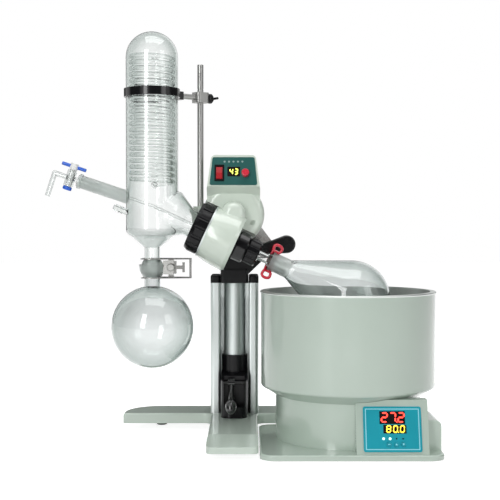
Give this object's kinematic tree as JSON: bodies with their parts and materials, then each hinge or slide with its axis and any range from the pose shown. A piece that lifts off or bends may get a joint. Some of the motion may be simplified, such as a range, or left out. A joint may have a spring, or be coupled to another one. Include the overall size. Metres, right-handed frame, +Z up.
{
  "type": "rotary evaporator",
  "caption": "Bench rotary evaporator: lifting stand, tilting drive head with a turning flask over a heated bath, upright glass condenser and receiving flask.",
  "frame": {"origin": "on the bench, under the middle of the bounding box", "axes": "+Z up, +X from the condenser towards the bath, -Y towards the user"},
  "size_m": [0.6172, 0.327, 0.6495],
  "materials": {
    "grey_paint": "gloss",
    "ivory_paint": "gloss",
    "column_aluminium": "satin",
    "black_plastic": "matte",
    "chrome": "polished",
    "steel": "brushed",
    "bronze": "machined",
    "clear_glass": "clear",
    "rubber": "matte",
    "red_plastic": "gloss",
    "blue_plastic": "gloss",
    "teal_panel": "satin",
    "display_lens": "gloss",
    "key_plastic": "satin"
  },
  "bodies": {
    "stand": {"base_casting": "grey_paint", "base_feet": "rubber", "column": "column_aluminium", "column_screws": "steel", "column_caps": "black_plastic", "guide_block": "column_aluminium", "lift_clamp": "black_plastic", "bath_pot": "steel", "bath_jacket": "grey_paint", "bath_base": "grey_paint", "bath_bottom": "steel", "bath_feet": "rubber", "heating_ring": "steel", "bath_probe": "steel", "bath_inlet": "black_plastic", "bath_overlay": "teal_panel", "bath_display": "display_lens"},
    "cam_lever": {"cam_lever": "black_plastic"},
    "bath_key_1": {"bath_key_1": "key_plastic"},
    "bath_key_2": {"bath_key_2": "key_plastic"},
    "bath_key_3": {"bath_key_3": "key_plastic"},
    "carriage": {"slide_tube": "chrome", "bracket": "black_plastic"},
    "tilt_lever": {"tilt_lever": "black_plastic"},
    "rotor": {"spindle": "steel", "worm_wheel": "bronze", "small_nut": "black_plastic", "vapour_tube": "clear_glass", "evaporating_flask": "clear_glass", "joint_clip": "red_plastic"},
    "worm": {"worm_shaft": "steel"},
    "union_nut": {"union_nut": "black_plastic"},
    "stopcock": {"stopcock_plug": "blue_plastic", "stopcock_nut": "blue_plastic"},
    "rocker": {"rocker": "red_plastic"},
    "speed_knob": {"speed_knob": "red_plastic"},
    "boss_screw": {"boss_screw": "black_plastic"},
    "clip_screw": {"clip_screw": "steel"},
    "head": {"head_housing": "ivory_paint", "rear_cover": "ivory_paint", "tilt_plate": "steel", "motor": "steel", "spindle_bearings": "steel", "trim_ring": "column_aluminium", "vacuum_seal": "rubber", "condenser": "clear_glass", "cooling_coil": "clear_glass", "feed_tube": "clear_glass", "stopcock_body": "clear_glass", "receiving_flask": "clear_glass", "fork_clip": "steel", "support_rod": "chrome", "ring_clamp": "black_plastic", "clamp_arm": "chrome", "boss_head": "black_plastic", "head_overlay": "teal_panel", "head_display": "display_lens", "rocker_bezel": "black_plastic", "speed_pot": "black_plastic", "head_inlet": "black_plastic"}
  },
  "joints": [
    {"name": "clamp_swing", "type": "hinge", "parent": "stand", "child": "cam_lever", "pos_m": [-0.01066, 0.0565, 0.085], "axis": [-1, 0, 0], "range_deg": [0, 50]},
    {"name": "key_1_press", "type": "slide", "parent": "stand", "child": "bath_key_1", "axis": [0, 0.9563, -0.2924], "range_m": [0, 0.0006], "stiffness_N_per_m": 400},
    {"name": "key_2_press", "type": "slide", "parent": "stand", "child": "bath_key_2", "axis": [0, 0.9563, -0.2924], "range_m": [0, 0.0006], "stiffness_N_per_m": 400},
    {"name": "key_3_press", "type": "slide", "parent": "stand", "child": "bath_key_3", "axis": [0, 0.9563, -0.2924], "range_m": [0, 0.0006], "stiffness_N_per_m": 400},
    {"name": "lift", "type": "slide", "parent": "stand", "child": "carriage", "axis": [0, 0, 1], "range_m": [0, 0.085]},
    {"name": "lock_swing", "type": "hinge", "parent": "carriage", "child": "tilt_lever", "pos_m": [0.03934, 0.0865, 0.3055], "axis": [0, 1, 0], "range_deg": [0, 40]},
    {"name": "tilt", "type": "hinge", "parent": "carriage", "child": "head", "pos_m": [-0.01066, 0.0865, 0.3625], "axis": [0, -1, 0], "range_deg": [-5, 15]},
    {"name": "flask_spin", "type": "hinge", "parent": "head", "child": "rotor", "pos_m": [-0.02834, -0.0135, 0.32457], "axis": [0.9063, 0, -0.4226], "continuous": true},
    {"name": "worm_spin", "type": "hinge", "parent": "head", "child": "worm", "pos_m": [-0.01066, -0.0135, 0.3625], "axis": [0, 1, 0], "continuous": true},
    {"name": "nut_turn", "type": "hinge", "parent": "head", "child": "union_nut", "pos_m": [-0.0646, -0.0135, 0.34147], "axis": [0.9063, 0, -0.4226], "range_deg": [0, 120]},
    {"name": "stopcock_turn", "type": "hinge", "parent": "head", "child": "stopcock", "pos_m": [-0.26813, -0.0135, 0.4194], "axis": [0.3173, 0, 0.9483], "range_deg": [0, 90]},
    {"name": "rocker_tip", "type": "hinge", "parent": "head", "child": "rocker", "pos_m": [-0.03286, -0.02052, 0.42636], "axis": [1, 0, 0], "range_deg": [-7, 7]},
    {"name": "speed_turn", "type": "hinge", "parent": "head", "child": "speed_knob", "pos_m": [0.00804, -0.02174, 0.42578], "axis": [0, -0.9598, 0.2807], "range_deg": [-135, 135]},
    {"name": "boss_turn", "type": "hinge", "parent": "head", "child": "boss_screw", "pos_m": [-0.06566, 0.0465, 0.553], "axis": [0.7747, 0.6324, 0], "range_deg": [0, 180]},
    {"name": "clip_turn", "type": "hinge", "parent": "head", "child": "clip_screw", "pos_m": [-0.10916, -0.0135, 0.279], "axis": [0, 1, 0], "range_deg": [0, 180]}
  ],
  "couplings": [
    {"joint": "worm_spin", "follows": "flask_spin", "ratio": 32}
  ]
}
